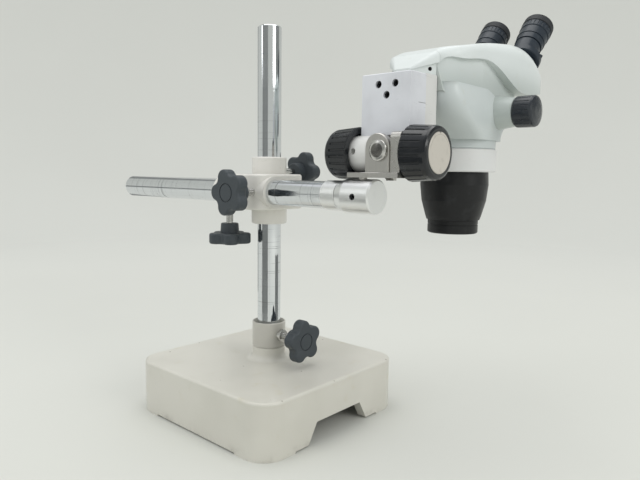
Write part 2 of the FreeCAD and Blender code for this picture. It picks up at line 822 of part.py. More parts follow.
def eye_point(side, along, across=0.0):
    c = math.cos(math.radians(eye_tilt))
    s = math.sin(math.radians(eye_tilt))
    return Vector(
        head_x + side,
        eye_end_y + along * c - across * s,
        eye_end_z + along * s + across * c,
    )


eye_axis = Vector(0, math.cos(math.radians(eye_tilt)), math.sin(math.radians(eye_tilt)))
turret_top = -(eyecup_length + diopter_length + ocular_length + tube_length)
turret_low = turret_top - turret_length


# Adaptor between slide and cover: a crown that narrows to a nose, on a flank with two screws
def make_adaptor():
    crown = Part.makeLoft([cover_wire(station) for station in adaptor_stations], True, False)
    low = way_top + 0.8
    nose, seam = adaptor_stations
    ends = []
    for depth, half, high in (
        (nose[0] + 0.6, nose[1] - 0.6, way_top + nose[2] + 0.6),
        (seam_y, adaptor_half, way_top + seam[2] + 1.0),
    ):
        ends.append(Part.makePolygon([
            Vector(head_x - half, depth, low),
            Vector(head_x + half, depth, low),
            Vector(head_x + half, depth, high),
            Vector(head_x - half, depth, high),
            Vector(head_x - half, depth, low),
        ]))
    flank = Part.makeLoft(ends, True, True)
    adaptor = crown.fuse(flank)
    slope = Vector(0, seam_y - nose[0] - 0.6, 0) + X_AXIS * (adaptor_half - nose[1] + 0.6)
    slope.normalize()
    holes = []
    screws = []
    for side in (-1, 1):
        outward = Vector(side * slope.y, -slope.x, 0)
        point = Vector(head_x + side * (adaptor_half - 4.2), seam_y - 4.2 * slope.y / slope.x, way_top + 7.0)
        holes.append(cylinder(2.0, 6.0, point - outward * 4.0, outward))
        screws.append(socket_screw(1.9, 3.6, point - outward * 0.4, outward))
    adaptor = adaptor.cut(Part.makeCompound(holes))
    export("rear_adaptor", adaptor.removeSplitter())
    export("adaptor_screws", Part.makeCompound(screws))


def core_plan_wire(column, inset, height):
    points = [Vector(head_x - row[column] + inset, row[0], height) for row in core_plan]
    points += [Vector(head_x + row[column] - inset, row[0], height) for row in reversed(core_plan)]
    return Part.makePolygon(points + points[:1])


def core_solid(inset):
    reach = max(row[1] for row in core_plan) + 5
    side = prism([Vector(head_x - reach, y, way_top + z) for y, z in core_side], Vector(2 * reach, 0, 0))
    low = way_top + min(z for y, z in core_side) - 5.0
    high = way_top + max(z for y, z in core_side) + 5.0
    plan = Part.makeLoft([
        core_plan_wire(1, inset, low),
        core_plan_wire(1, inset, way_top + core_foot),
        core_plan_wire(2, inset, way_top + core_shoulder),
        core_plan_wire(2, inset, high),
    ], True, True)
    return side.common(plan)


def body_wire(station, inset=0.0):
    z, half, y_low, y_high, corner = station
    centre = Vector(head_x, (y_low + y_high) / 2, way_top + z)
    half_y = (y_high - y_low) / 2 - inset
    return rounded_wire(half - inset, half_y, corner - inset, centre, X_AXIS, Y_AXIS)


# Space above a plane square to the eyepieces, where their housings swing
def recess_slab(along):
    half = turret_half + turret_radius + pass_gap
    slab = Part.makeBox(2 * half, 300, 200, Vector(-half, -150, 0))
    slab.Placement = Placement(eye_point(0, along), Rotation(Z_AXIS, eye_axis))
    return slab


# Cover with its inset flank and the zoom bosses, hollow inside
def make_cover(lower_outer):
    outer, inner = shell_loft(cover_stations, cover_wire)
    flank = core_solid(0.0)
    hollow = core_solid(wall)
    depths = (cover_stations[0][0] + wall, cover_stations[-1][0] - wall)
    front = box((head_x - 70, head_x + 70), depths, (body_low, way_top + 60.0))
    cover = outer.fuse(flank)
    bosses = []
    for side in (-1, 1):
        boss = revolved([
            (0, 30.0),
            (zoom_boss_inner, 30.0),
            (zoom_boss_outer, zoom_back - 0.6),
            (0, zoom_back - 0.6),
        ], Vector(head_x, zoom_y, zoom_z), X_AXIS * side)
        bosses.append(boss)
    cover = cover.fuse(bosses)
    roof = recess_slab(turret_low - seat_gap - wall)
    cover = cover.cut(inner.common(front).cut(roof)).cut(hollow.common(front).cut(roof))
    bore = cylinder(zoom_shaft_radius + running_fit, 200.0, Vector(head_x - 100, zoom_y, zoom_z), X_AXIS)
    room = box((head_x - 38, head_x + 38), (zoom_y - 24, zoom_y + 24), (zoom_z - 25.0, zoom_z + 43.0))
    cover = cover.cut(bore).cut(room).cut(lower_outer)
    return cover.cut(recess_slab(turret_low - seat_gap))


# Lower body, a tapered shell with the optical bores, and the neck under it
def make_lower_body():
    outer, inner = shell_loft(body_stations, body_wire)
    trim = box((head_x - 70, head_x + 70), (0, 240.0), (body_low + wall, body_high - wall))
    hollow = inner.common(trim)
    body = outer.cut(hollow)
    throat = cylinder(34.0, wall + 2.0, Vector(head_x, head_axis_y, body_low - 1.0))
    bore = cylinder(zoom_shaft_radius + 1.0, 200.0, Vector(head_x - 100, zoom_y, zoom_z), X_AXIS)
    body = body.cut(throat).cut(bore)
    for side in (-1, 1):
        body = body.cut(cylinder(12.0, 20.0, Vector(head_x + side * 13.0, 80.0, body_high - 10.0)))
    return outer, body


def make_head():
    lower_outer, body = make_lower_body()
    cover = make_cover(lower_outer)
    seats = []
    for side in (-1, 1):
        seats.append(cylinder(13.0, 30.0, eye_point(side * turret_half, turret_low - 12.0), eye_axis))
    cover = cover.cut(Part.makeCompound(seats))
    export("upper_cover", cover.removeSplitter())

    centre = Vector(head_x, head_axis_y, 0)
    neck = revolved([
        (33.9, neck_low),
        (neck_radius - 2.2, neck_low),
        (neck_radius - 1.2, neck_low + 1.0),
        (neck_radius - 1.2, body_low + 1.0),
        (33.9, body_low + 1.0),
    ], centre)
    export("lower_body", body.fuse(neck).removeSplitter())
    collar = revolved([
        (32.0, collar_low),
        (neck_radius - 1.0, collar_low),
        (neck_radius, collar_low + 1.0),
        (neck_radius, neck_low - 1.0),
        (neck_radius - 0.8, neck_low),
        (32.0, neck_low),
    ], centre)
    export("objective_collar", collar)
    outer = [(radius, way_top + z) for radius, z in cone_stations]
    inner = [(radius - 3.0, way_top + z) for radius, z in reversed(cone_stations)]
    cone = revolved(outer + inner, centre)
    export("objective_cone", cone)
    groove_z = objective_ring_top - 5.0
    ring = revolved([
        (objective_thread_radius, objective_ring_low),
        (objective_ring_radius - 1.2, objective_ring_low),
        (objective_ring_radius, objective_ring_low + 1.2),
        (objective_ring_radius, groove_z - 0.6),
        (objective_ring_radius - 0.9, groove_z - 0.6),
        (objective_ring_radius - 0.9, groove_z + 0.6),
        (objective_ring_radius, groove_z + 0.6),
        (objective_ring_radius, objective_ring_top),
        (25.0, objective_ring_top),
        (25.0, objective_ring_low + objective_thread_depth),
        (objective_thread_radius, objective_ring_low + objective_thread_depth),
    ], centre)
    export("objective_ring", ring)
    lens_low = objective_ring_low + objective_thread_depth + 0.5
    lens = Part.makeSphere(70.0, Vector(head_x, head_axis_y, lens_low + 70.0))
    lens = lens.common(cylinder(24.9, 9.0, Vector(head_x, head_axis_y, lens_low)))
    export("objective_lens", lens)

    barrel_low = neck_low - 18.0
    barrels = []
    for side in (-1, 1):
        barrels.append(revolved([
            (8.0, barrel_low), (11.0, barrel_low), (11.0, barrel_low + 44.0), (8.0, barrel_low + 44.0),
        ], Vector(head_x + side * 12.5, head_axis_y - 2.0, 0)))
    depths = (head_axis_y - 14.0, head_axis_y + 10.0)
    carrier = box((head_x - 36.0, head_x + 36.0), depths, (body_low + wall, barrel_low + 37.0))
    for side in (-1, 1):
        spot = Vector(head_x + side * 12.5, head_axis_y - 2.0, barrel_low)
        carrier = carrier.cut(cylinder(9.0, 60.0, spot))
    export("zoom_barrels", carrier.fuse(barrels).removeSplitter())

    reach = zoom_face - 4.0
    shaft = cylinder(zoom_shaft_radius, 2 * reach, Vector(head_x - reach, zoom_y, zoom_z), X_AXIS)
    cam = cylinder(9.0, 60.0, Vector(head_x - 30.0, zoom_y, zoom_z), X_AXIS)
    export("zoom_shaft", shaft.fuse(cam).removeSplitter())
    for name, side in (("near", 1), ("far", -1)):
        knob = revolved([
            (zoom_shaft_radius, zoom_back),
            (zoom_radius - 1.2, zoom_back),
            (zoom_radius, zoom_back + 1.4),
            (zoom_radius, zoom_face - 2.4),
            (zoom_radius - 0.8, zoom_face - 0.8),
            (zoom_radius - 2.4, zoom_face),
            (8.0, zoom_face + 1.2),
            (0, zoom_face + 1.6),
            (0, reach),
            (zoom_shaft_radius, reach),
        ])
        grooves = []
        for i in range(20):
            spot = polar(zoom_radius + 0.35, 2 * math.pi * i / 20, zoom_back - 1.0)
            grooves.append(cylinder(0.8, zoom_face - zoom_back - 2.6, spot))
        knob = knob.cut(Part.makeCompound(grooves))
        knob.Placement = Placement(Vector(head_x, zoom_y, zoom_z), Rotation(Z_AXIS, X_AXIS * side))
        export("zoom_knob_" + name, knob)


# One side of the binocular part: swinging turret with tube, ocular, diopter ring and cup
def make_eyepiece(name, side):
    offset = eye_half * side
    pivot = turret_half * side
    disc = revolved([
        (0, turret_low),
        (turret_radius - 0.8, turret_low),
        (turret_radius, turret_low + 0.8),
        (turret_radius, turret_top - 1.5),
        (turret_radius - 1.5, turret_top),
        (0, turret_top),
    ], eye_point(pivot, 0), eye_axis)
    spigot = cylinder(13.0 - running_fit, 7.0, eye_point(pivot, turret_low - 6.0), eye_axis)
    tube = revolved([
        (0, turret_low + 2.0),
        (tube_radius, turret_low + 2.0),
        (tube_radius, turret_top + tube_length - 1.0),
        (tube_radius - 1.0, turret_top + tube_length),
        (0, turret_top + tube_length),
    ], eye_point(offset, 0), eye_axis)
    turret = disc.fuse([spigot, tube])
    channel = cylinder(
        tube_radius - tube_wall_eye,
        tube_length + turret_length - 2.0,
        eye_point(offset, turret_low + 3.0),
        eye_axis,
    )
    light = cylinder(9.0, 14.0, eye_point(pivot, turret_low - 8.0), eye_axis)
    turret = turret.cut(channel).cut(light)
    thumb_z = turret_top + tube_length - 5.0
    outward = Rotation(eye_axis, 42.0 * side).multVec(X_AXIS * side)
    thumb_hole = cylinder(1.6, 20.0, eye_point(offset, thumb_z), outward)
    export("turret_" + name, turret.cut(thumb_hole).removeSplitter())
    thumb = revolved([
        (0, tube_radius - 1.6),
        (1.5, tube_radius - 1.6),
        (1.5, tube_radius + 1.0),
        (3.2, tube_radius + 1.0),
        (3.2, tube_radius + 4.6),
        (2.6, tube_radius + 5.2),
        (0, tube_radius + 5.2),
    ], eye_point(offset, thumb_z), outward)
    export("thumb_screw_" + name, thumb)

    ocular_low = turret_top + tube_length + seat_gap
    ocular_top = -(eyecup_length + diopter_length)
    inner = tube_radius - tube_wall_eye - running_fit
    ocular = revolved([
        (inner - 1.5, ocular_low - 14.0),
        (inner, ocular_low - 14.0),
        (inner, ocular_low),
        (ocular_radius - 1.0, ocular_low),
        (ocular_radius - 0.6, ocular_low + 8.0),
        (ocular_radius - 1.0, ocular_low + 8.3),
        (ocular_radius - 1.0, ocular_low + 9.0),
        (ocular_radius, ocular_low + 9.3),
        (ocular_radius, ocular_top - pass_gap),
        (14.0, ocular_top - pass_gap),
        (14.0, -2.5),
        (inner - 1.5, -2.5),
    ], eye_point(offset, 0), eye_axis)
    export("ocular_" + name, ocular)
    lens = Part.makeSphere(34.0, eye_point(offset, -5.0 - 34.0))
    lens = lens.common(cylinder(inner - 1.5, 9.0, eye_point(offset, -13.0), eye_axis))
    export("eye_lens_" + name, lens)

    ring = revolved([
        (14.0 + running_fit, ocular_top),
        (diopter_radius - 0.6, ocular_top),
        (diopter_radius, ocular_top + 0.6),
        (diopter_radius, ocular_top + diopter_length - 0.8),
        (diopter_radius - 0.6, ocular_top + diopter_length - pass_gap),
        (14.0 + running_fit, ocular_top + diopter_length - pass_gap),
    ])
    grooves = []
    for i in range(24):
        spot = polar(diopter_radius + 0.4, 2 * math.pi * i / 24, ocular_top + 1.2)
        grooves.append(cylinder(0.9, diopter_length - 2.8, spot))
    ring = ring.cut(Part.makeCompound(grooves))
    ring.Placement = Placement(eye_point(offset, 0), Rotation(Z_AXIS, eye_axis))
    export("diopter_ring_" + name, ring)
    cup = revolved([
        (14.0 + running_fit, -eyecup_length),
        (eyecup_radius - 0.5, -eyecup_length),
        (eyecup_radius, -eyecup_length + 0.6),
        (eyecup_radius - 0.2, -1.4),
        (eyecup_radius - 1.4, 0),
        (eyecup_radius - 2.6, 0),
        (14.0 + running_fit, -2.6),
    ], eye_point(offset, 0), eye_axis)
    export("eyecup_" + name, cup)
    prism_block = box((-8.5, 8.5), (-8.5, 8.5), (0, 5.5))
    prism_block.Placement = Placement(eye_point(pivot, turret_low - 5.5), Rotation(Z_AXIS, eye_axis))
    prism_block = prism_block.common(cylinder(8.8, 8.0, eye_point(pivot, turret_low - 6.0), eye_axis))
    export("prism_" + name, prism_block)


make_base()
make_base_collar()
make_column()
make_stop_ring()
make_cross_block()
make_arm()
make_coupling()
make_bracket()
make_pinion_barrel()
make_focus_block()
make_pinion_shaft()
make_rack()
make_slide()
make_focus_knob("near", 1)
make_focus_knob("far", -1)
make_adaptor()
make_head()
make_eyepiece("near", 1)
make_eyepiece("far", -1)

clamp_reach = column_radius + pass_gap
# Each knob: point on the clamped axis, outward axis, reach of disc and of face, spin, lock nut
knob_plan = {
    "base_knob": (Vector(0, 0, collar_knob_z), X_AXIS, 57.3, collar_radius, 187.0, True),
    "arm_knob": (Vector(arm_knob_x, arm_y, arm_z), -Y_AXIS, 83.6 + arm_y, arm_y - block_y[0], 180.0, False),
    "lower_knob": (Vector(lower_knob_x, arm_y, arm_z), -Z_AXIS, arm_z - 210.8, arm_z - block_low, 0.0, False),
    "upper_knob": (Vector(0, 0, upper_knob_z), Y_AXIS, 58.5, upper_collar_radius, 0.0, False),
}
for knob_name, (point, outward, disc_reach, face_reach, spin, has_nut) in knob_plan.items():
    make_star_knob(
        knob_name,
        point + outward * clamp_reach,
        outward,
        disc_reach - clamp_reach,
        face_reach + pass_gap - clamp_reach,
        spin,
        has_nut,
    )
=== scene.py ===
import bpy
import math
from mathutils import Matrix, Vector


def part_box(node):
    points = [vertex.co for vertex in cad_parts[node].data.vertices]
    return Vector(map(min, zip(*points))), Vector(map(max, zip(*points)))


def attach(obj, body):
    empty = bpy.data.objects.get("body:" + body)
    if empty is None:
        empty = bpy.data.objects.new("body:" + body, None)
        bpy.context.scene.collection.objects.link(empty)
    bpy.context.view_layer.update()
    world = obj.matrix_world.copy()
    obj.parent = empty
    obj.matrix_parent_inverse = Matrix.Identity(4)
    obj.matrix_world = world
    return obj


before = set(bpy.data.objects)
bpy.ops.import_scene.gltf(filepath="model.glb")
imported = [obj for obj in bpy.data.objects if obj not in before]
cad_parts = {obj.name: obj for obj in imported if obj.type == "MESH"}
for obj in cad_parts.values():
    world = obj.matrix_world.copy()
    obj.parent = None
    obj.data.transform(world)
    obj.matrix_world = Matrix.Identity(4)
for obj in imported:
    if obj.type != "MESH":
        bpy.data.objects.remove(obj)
print("frame loaded:", len(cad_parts), "nodes")


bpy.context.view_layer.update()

# Camera: where the photograph was taken from, and how the horizon leans in it

cameraPlace = {
    "lens": 32.88,  # mm
    "sensor": 36.0,  # mm across
    "spot": (0.516, -0.4866, 0.2913),
    "right": (0.747, 0.6649, 0.0),
    "ahead": (-0.6649, 0.747, 0.0),
    "pitch": 0.1161,  # radians, looking down
    "roll": 0.0125,
}


def addCamera(place):
    right, ahead, up = Vector(place["right"]), Vector(place["ahead"]), Vector((0, 0, 1))
    view = math.cos(place["pitch"]) * ahead - math.sin(place["pitch"]) * up
    above = math.sin(place["pitch"]) * ahead + math.cos(place["pitch"]) * up
    side = math.cos(place["roll"]) * right + math.sin(place["roll"]) * above
    top = math.cos(place["roll"]) * above - math.sin(place["roll"]) * right
    bpy.ops.object.camera_add()
    camera = bpy.context.object
    camera.data.lens = place["lens"]
    camera.data.sensor_width = place["sensor"]
    camera.data.clip_start = 0.01
    turn = Matrix((side, top, -view)).transposed().to_4x4()
    camera.matrix_world = Matrix.Translation(Vector(place["spot"])) @ turn
    bpy.context.scene.camera = camera


addCamera(cameraPlace)
print("camera placed")


def linear(channel):
    share = channel / 255
    return share / 12.92 if share < 0.04 else ((share + 0.055) / 1.055) ** 2.4


def tint(red, green, blue):  # a colour as it looks on screen, 0 to 255, as the shader takes it
    return (linear(red), linear(green), linear(blue), 1.0)


class Wire:  # one output of a shader node, so that shader maths reads as sums
    def __init__(self, finish, socket):
        self.finish = finish
        self.socket = socket

    def maths(self, operation, *values):
        inputs = dict(enumerate((self,) + values))
        return self.finish.node("ShaderNodeMath", {"operation": operation}, inputs)

    def __add__(self, other):
        return self.maths("ADD", other)

    def __sub__(self, other):
        return self.maths("SUBTRACT", other)

    def __rsub__(self, other):
        inputs = {0: other, 1: self}
        return self.finish.node("ShaderNodeMath", {"operation": "SUBTRACT"}, inputs)

    def __mul__(self, other):
        return self.maths("MULTIPLY", other)

    __radd__ = __add__
    __rmul__ = __mul__

    def root(self):
        return self.maths("SQRT")

    def larger(self, other):
        return self.maths("MAXIMUM", other)

    def rising(self, low, high):  # 0 below low, 1 above high, and soft between
        ends = {"Value": self, "From Min": low, "From Max": high, "To Min": 0.0, "To Max": 1.0}
        return self.finish.node("ShaderNodeMapRange", {"interpolation_type": "SMOOTHSTEP"}, ends)

    def within(self, low, high, soft):  # 1 between low and high
        return self.rising(low - soft, low) * (1 - self.rising(high, high + soft))


class Finish:  # a material, and the calls that add its nodes
    def __init__(self, name, colour, roughness, metallic=0.0, coat=0.0):
        self.material = bpy.data.materials.new(name)
        self.material.use_nodes = True
        self.tree = self.material.node_tree
        self.shader = self.tree.nodes["Principled BSDF"]
        self.material.diffuse_color = colour
        self.set("Base Color", colour)
        self.set("Roughness", roughness)
        self.set("Metallic", metallic)
        self.set("Coat Weight", coat)
        self.set("Coat Roughness", 0.08)
        self.place = self.node("ShaderNodeTexCoord", out="Object")

    def set(self, name, value):
        socket = self.shader.inputs[name]
        if isinstance(value, Wire):
            self.tree.links.new(value.socket, socket)
        else:
            socket.default_value = value

    def node(self, kind, settings=None, inputs=None, out=0):
        made = self.tree.nodes.new(kind)
        for name, value in (settings or {}).items():
            setattr(made, name, value)
        for name, value in (inputs or {}).items():
            if isinstance(value, Wire):
                self.tree.links.new(value.socket, made.inputs[name])
            else:
                made.inputs[name].default_value = value
        return Wire(self, made.outputs[out])

    def stretched(self, scale):
        return self.node("ShaderNodeMapping", None, {"Vector": self.place, "Scale": scale})

    def noise(self, scale, detail=2.0, place=None):  # scale is in patches to the metre, roughly
        inputs = {"Vector": place or self.place, "Scale": scale, "Detail": detail}
        return self.node("ShaderNodeTexNoise", None, inputs)

    def specks(self, scale, size):  # small round spots in random places, 1 inside a spot
        away = self.node("ShaderNodeTexVoronoi", None, {"Vector": self.place, "Scale": scale})
        return 1 - away.rising(size * 0.6, size)

    def axes(self):
        made = self.tree.nodes.new("ShaderNodeSeparateXYZ")
        self.tree.links.new(self.place.socket, made.inputs[0])
        return [Wire(self, out) for out in made.outputs]

    def axis(self, letter):
        return self.axes()["xyz".index(letter)]

    def fromAxis(self, across, first, second):  # distance from a line along one axis
        coordinates = self.axes()
        u, v = [coordinates["xyz".index(letter)] for letter in across]
        return ((u - first) * (u - first) + (v - second) * (v - second)).root()

    def blend(self, factor, first, second):
        settings = {"data_type": "RGBA", "clamp_factor": True}
        return self.node("ShaderNodeMix", settings, {0: factor, 6: first, 7: second}, out=2)

    def bump(self, height, strength, depth):
        inputs = {"Height": height, "Strength": strength, "Distance": depth}
        self.set("Normal", self.node("ShaderNodeBump", None, inputs))


def wear(node, finish):
    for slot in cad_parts[node].material_slots:
        slot.material = finish.material


def middle(node):
    low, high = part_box(node)
    return (Vector(low) + Vector(high)) / 2


starKnobs = ("base_knob", "arm_knob", "lower_knob", "upper_knob")

# Paints

castPaint = {
    "colour": tint(207, 205, 195),
    "shade": tint(193, 191, 180),
    "chip": tint(112, 104, 92),
    "stain": tint(186, 174, 132),
    "cloudScale": 9.0,
    "stainScale": 38.0,
    "chipScale": 85.0,
    "grimeScale": 70.0,
    "peelScale": 620.0,  # the orange peel of thick enamel
    "plateTop": 0.062,  # height of the casting's upper edge
    "grimeHeight": 0.012,  # how far the grime climbs from the table
}


def castingFinish(name, paint, foot):
    finish = Finish(name, paint["colour"], 0.34, coat=0.25)
    z = finish.axis("z")
    top = paint["plateTop"]
    cloud = finish.noise(paint["cloudScale"], 3.0).rising(0.42, 0.68)
    colour = finish.blend(cloud * 0.5, paint["colour"], paint["shade"])
    handled = finish.noise(paint["stainScale"], 5.0).rising(0.6, 0.75)
    colour = finish.blend(handled * 0.22, colour, paint["stain"])
    upperRim = z.within(top - 0.006, top + 0.001, 0.002)
    lowerRim = z.within(foot - 0.001, foot + 0.004, 0.003)
    knocked = finish.noise(30.0, 2.0).rising(0.52, 0.6)
    chips = finish.specks(paint["chipScale"], 0.1) * (upperRim + lowerRim) * knocked
    colour = finish.blend(chips, colour, paint["chip"])
    low = 1 - z.rising(foot, foot + paint["grimeHeight"])
    grime = low * finish.noise(paint["grimeScale"], 4.0).rising(0.45, 0.75)
    finish.set("Base Color", finish.blend(grime * 0.35, colour, paint["chip"]))
    finish.set("Roughness", 0.3 + 0.14 * finish.noise(24.0, 4.0) + 0.25 * chips)
    skin = finish.noise(paint["peelScale"], 2.0) + 0.6 * finish.noise(90.0, 2.0)
    finish.bump(skin - 1.5 * chips, 0.16, 0.0006)
    return finish


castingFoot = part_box("base_casting")[0][2]
wear("base_casting", castingFinish("casting enamel", castPaint, castingFoot))

collarPaintShaded = {
    # the same enamel as the casting, set darker: painted shade on the collar
    "colour": tint(186, 184, 175),
    "bore": tint(170, 168, 160),
    "mouth": 0.0172,  # the paint ends at this radius
    "edge": 0.0004,  # how softly it ends
    "markScale": 60.0,
    "peelScale": 700.0,
}


def collarFinish(paint):
    finish = Finish("collar enamel with painted shade", paint["colour"], 0.33, coat=0.25)
    radius = finish.fromAxis("xy", 0.0, 0.0)
    inside = 1 - radius.rising(paint["mouth"] - paint["edge"], paint["mouth"])
    marks = finish.noise(paint["markScale"], 4.0).rising(0.5, 0.72)
    colour = finish.blend(marks * 0.3, paint["colour"], castPaint["shade"])
    finish.set("Base Color", finish.blend(inside, colour, paint["bore"]))
    finish.set("Metallic", inside)
    finish.set("Roughness", 0.3 + 0.12 * finish.noise(30.0, 3.0))
    finish.bump(finish.noise(paint["peelScale"], 2.0), 0.12, 0.0005)
    return finish


wear("base_collar", collarFinish(collarPaintShaded))

blockPaint = {
    "colour": tint(221, 219, 212),
    "shade": tint(207, 205, 197),
    "rub": tint(184, 180, 168),
    "cloudScale": 22.0,
    "rubScale": 120.0,
    "peelScale": 650.0,
}


def blockFinish(name, paint):
    finish = Finish(name, paint["colour"], 0.32, coat=0.3)
    cloud = finish.noise(paint["cloudScale"], 3.0).rising(0.42, 0.7)
    colour = finish.blend(cloud * 0.4, paint["colour"], paint["shade"])
    rubbed = finish.noise(paint["rubScale"], 6.0).rising(0.63, 0.74)
    finish.set("Base Color", finish.blend(rubbed * 0.35, colour, paint["rub"]))
    finish.set("Roughness", 0.28 + 0.16 * finish.noise(40.0, 4.0))
    skin = finish.noise(paint["peelScale"], 2.0) + 0.5 * finish.noise(110.0, 2.0)
    finish.bump(skin, 0.14, 0.0006)
    return finish


whiteEnamel = blockFinish("white enamel", blockPaint)
for node in ("cross_block", "stop_ring"):
    wear(node, whiteEnamel)

headPaint = {
    "colour": tint(212, 218, 216),
    # the cover's enamel set darker: painted shade on the lower body
    "body": tint(189, 196, 195),
    # partly its own white, partly painted shade: set darker than its white to stand in for the
    # shade under the head
    "collar": tint(213, 213, 211),
    "shade": tint(202, 209, 206),
    "dust": tint(188, 190, 178),
    "flank": tint(168, 176, 171),  # painted shade in the recess under the cover's lip
    "flankTop": (0.380, 0.414),  # the painted shade fades out between these heights
    "flankShare": 0.75,
    "cloudScale": 14.0,
    "dustScale": 95.0,
    "grainScale": 1300.0,
}


def headFinish(name, colour, paint, shaded=0.0):
    finish = Finish(name, colour, 0.36, coat=0.15)
    cloud = finish.noise(paint["cloudScale"], 3.0).rising(0.4, 0.7)
    mixed = finish.blend(cloud * 0.35, colour, paint["shade"])
    if shaded:
        # painted shade below the lip, fading out upward
        lipShade = 1 - finish.axis("z").rising(*paint["flankTop"])
        mixed = finish.blend(lipShade * shaded, mixed, paint["flank"])
    dusty = finish.noise(paint["dustScale"], 5.0).rising(0.58, 0.76)
    finish.set("Base Color", finish.blend(dusty * 0.22, mixed, paint["dust"]))
    finish.set("Roughness", 0.33 + 0.12 * finish.noise(30.0, 4.0))
    finish.bump(finish.noise(paint["grainScale"], 3.0), 0.12, 0.0004)
    return finish


flankShare = headPaint["flankShare"]
wear("upper_cover", headFinish("cover enamel with painted shade", headPaint["colour"], headPaint, flankShare))
wear("rear_adaptor", headFinish("adaptor enamel", headPaint["colour"], headPaint))
wear("lower_body", headFinish("body enamel with painted shade", headPaint["body"], headPaint))
shadedObjectiveEnamel = headFinish("white enamel on the objective, partly shaded", headPaint["collar"], headPaint)
wear("objective_collar", shadedObjectiveEnamel)
print("paints done")

# Polished and turned metal

tubeChrome = {
    "colour": tint(222, 225, 228),
    "rust": tint(96, 74, 56),
    "grime": tint(120, 122, 124),
    "polish": 0.05,  # roughness where it is clean
    "haze": 0.16,  # added roughness in the hazy patches
    "rings": (900.0, 14.0),  # scale of the clamps' marks, along the tube and across it
    "streaks": (6.0, 420.0),
    "speckScale": 260.0,
    "wornEnd": 0.012,  # how softly a worn stretch ends
    "columnWorn": [(0.10, 0.225), (0.32, 0.352)],  # heights, in metres
    "armWorn": [(-0.235, -0.07), (0.05, 0.11)],  # places along x
}


def scaleAlong(along, scales):
    return [scales[0] if letter == along else scales[1] for letter in "xyz"]


def chromeTube(name, along, worn, chrome):
    # Fine rings are left by the clamps, and specks where the plating has lifted
    finish = Finish(name, chrome["colour"], chrome["polish"], metallic=1.0)
    place = finish.axis(along)
    ringPlace = finish.stretched(scaleAlong(along, chrome["rings"]))
    rings = finish.noise(1.0, 3.0, ringPlace).rising(0.58, 0.72)
    streakPlace = finish.stretched(scaleAlong(along, chrome["streaks"]))
    streaks = finish.noise(1.0, 4.0, streakPlace).rising(0.5, 0.78)
    haze = finish.noise(30.0, 4.0).rising(0.45, 0.7)
    used = place.within(*worn[0], chrome["wornEnd"])
    for stretch in worn[1:]:
        used = used.larger(place.within(*stretch, chrome["wornEnd"]))
    lifted = finish.noise(22.0, 3.0).rising(0.5, 0.62)
    specks = finish.specks(chrome["speckScale"], 0.16) * lifted * used
    dirty = rings * used
    colour = finish.blend(dirty * 0.75 + streaks * 0.12, chrome["colour"], chrome["grime"])
    finish.set("Base Color", finish.blend(specks * 0.8, colour, chrome["rust"]))
    hazy = chrome["polish"] + chrome["haze"] * haze
    finish.set("Roughness", hazy + 0.2 * dirty + 0.3 * specks)
    finish.bump(streaks * 0.4 + rings * 0.5 + specks, 0.05, 0.0003)
    return finish


columnChrome = chromeTube("column chrome", "z", tubeChrome["columnWorn"], tubeChrome)
wear("column_tube", columnChrome)
wear("arm_tube", chromeTube("arm chrome", "x", tubeChrome["armWorn"], tubeChrome))

turnedMetal = {
    "colour": tint(236, 237, 237),
    "dull": tint(214, 215, 215),
    "lineScale": 5200.0,
    "rough": 0.3,
}


def turnedFinish(name, across, centre, metal):
    finish = Finish(name, metal["colour"], metal["rough"], metallic=1.0)
    radius = finish.fromAxis(across, *centre)
    along = finish.axis((set("xyz") - set(across)).pop())
    flat = finish.node("ShaderNodeCombineXYZ", None, {0: radius, 1: along, 2: 0.0})
    lines = finish.noise(metal["lineScale"], 2.0, flat)
    marks = finish.noise(45.0, 5.0).rising(0.56, 0.74)
    finish.set("Base Color", finish.blend(marks * 0.4, metal["colour"], metal["dull"]))
    finish.set("Roughness", metal["rough"] - 0.04 + 0.1 * marks + 0.08 * lines)
    finish.bump(lines, 0.1, 0.00025)
    return finish


armCentre = middle("arm_tube")
armAxis = (armCentre.y, armCentre.z)
armTurned = turnedFinish("turned aluminium", "yz", armAxis, turnedMetal)
for node in ("arm_sleeve", "coupling_body", "arm_plug"):
    wear(node, armTurned)

boltMetal = {
    "colour": tint(206, 205, 202),
    "dull": tint(84, 82, 80),
    "lineScale": 2600.0,
    "rough": 0.22,
    "middle": (0.0062, 0.0072),  # the dull middle fades out between these radii
    "middleShare": 0.85,
}


def boltFinish(metal):
    centre = middle("tension_bolt")
    finish = turnedFinish("bolt steel", "xz", (centre.x, centre.z), metal)
    inner = 1 - finish.fromAxis("xz", centre.x, centre.z).rising(*metal["middle"])
    colour = finish.blend(inner * metal["middleShare"], metal["colour"], metal["dull"])
    finish.set("Base Color", colour)
    return finish


wear("tension_bolt", boltFinish(boltMetal))

brushedMetal = {
    "steel": tint(200, 198, 194),
    "stud": tint(214, 214, 212),
    "brass": tint(206, 176, 112),
    "dark": tint(160, 158, 154),
    "bracketGrain": (900.0, 900.0, 30.0),  # scale along x, y and z
    "plainGrain": (400.0, 400.0, 400.0),
    "studGrain": (300.0, 300.0, 300.0),
    "brassGrain": (200.0, 200.0, 900.0),
}


def brushedFinish(name, colour, scale, rough):
    finish = Finish(name, colour, rough, metallic=1.0)
    grain = finish.noise(1.0, 3.0, finish.stretched(scale))
    finish.set("Base Color", finish.blend(grain * 0.5, colour, brushedMetal["dark"]))
    finish.set("Roughness", rough - 0.06 + 0.14 * grain)
    finish.bump(grain, 0.06, 0.0003)
    return finish


